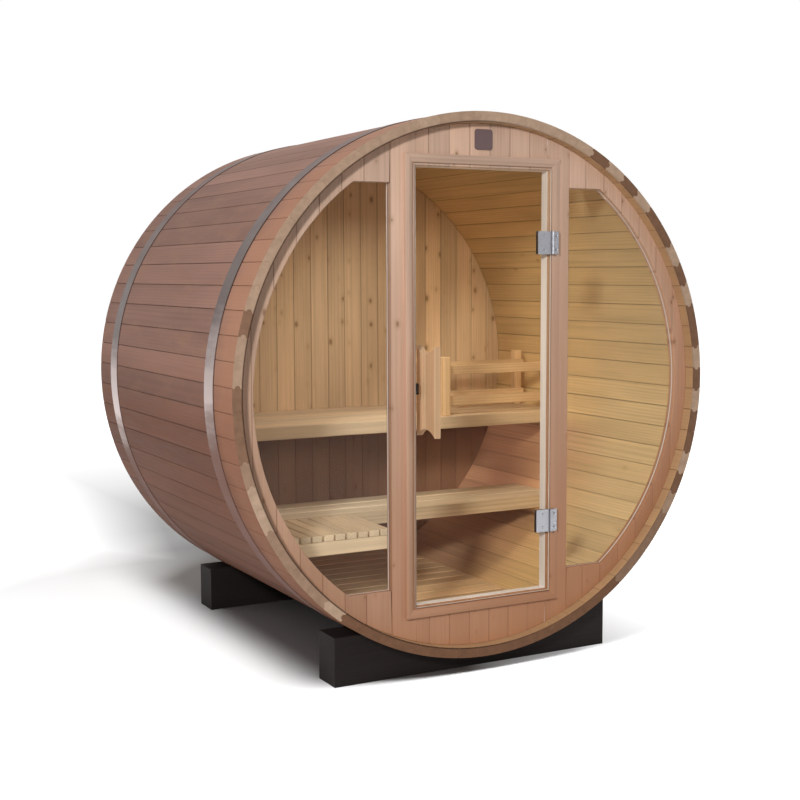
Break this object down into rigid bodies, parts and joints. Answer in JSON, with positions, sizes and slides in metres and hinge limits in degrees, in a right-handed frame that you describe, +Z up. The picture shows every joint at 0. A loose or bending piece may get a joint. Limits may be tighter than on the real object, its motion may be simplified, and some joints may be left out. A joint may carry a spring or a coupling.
{
  "type": "barrel sauna",
  "caption": "Lying wooden barrel sauna of bead-and-cove staves in steel bands on two cradles, with a glazed round front, a swinging glass door and slatted benches inside.",
  "frame": {"origin": "on the ground under the middle of the whole outline", "axes": "+X to the right seen from the front, +Y from the glazed front to the rear wall, +Z up"},
  "size_m": [2.1044, 1.685, 2.1622],
  "materials": {
    "stave_wood": "satin stained softwood",
    "wall_wood": "satin softwood",
    "inner_wood": "planed knotty softwood",
    "bench_wood": "planed pale softwood",
    "cradle_wood": "dark stain, matte",
    "steel": "brushed",
    "dark_metal": "matte",
    "glass": "clear, toughened"
  },
  "bodies": {
    "sauna": {"staves_top": "stave_wood", "staves_top_right": "stave_wood", "staves_right": "stave_wood", "staves_bottom_right": "stave_wood", "staves_bottom": "stave_wood", "staves_bottom_left": "stave_wood", "staves_left": "stave_wood", "staves_top_left": "stave_wood", "front_band": "steel", "rear_band": "steel", "front_cradle": "cradle_wood", "rear_cradle": "cradle_wood", "rear_wall": "inner_wood", "left_stile": "wall_wood", "right_stile": "wall_wood", "door_head_panel": "wall_wood", "door_sill_panel": "wall_wood", "left_window_surround": "wall_wood", "right_window_surround": "wall_wood", "left_window_glass": "glass", "right_window_glass": "glass", "door_trim_left": "wall_wood", "door_trim_right": "wall_wood", "door_trim_head": "wall_wood", "door_trim_sill": "wall_wood", "frame_hinge_leaves": "steel", "hinge_pins": "steel", "door_catch": "dark_metal", "bare_plate": "dark_metal", "upper_bench_slats": "bench_wood", "upper_bench_fascia": "bench_wood", "upper_bench_bearers": "bench_wood", "lower_bench_slats": "bench_wood", "lower_bench_fascia": "bench_wood", "lower_bench_bearers": "bench_wood", "foot_bench_slats": "bench_wood", "foot_bench_frame": "bench_wood", "guard_posts": "bench_wood", "guard_rails": "bench_wood", "floor_slats": "inner_wood", "floor_battens": "inner_wood"},
    "door": {"door_glass": "glass", "door_hinge_leaves": "steel", "handle_outside": "bench_wood", "handle_inside": "bench_wood"}
  },
  "joints": [
    {"name": "door_hinge", "type": "hinge", "parent": "sauna", "child": "door", "pos_m": [0.309, -0.7875, 1.118], "axis": [0, 0, 1], "range_deg": [0, 100]}
  ]
}
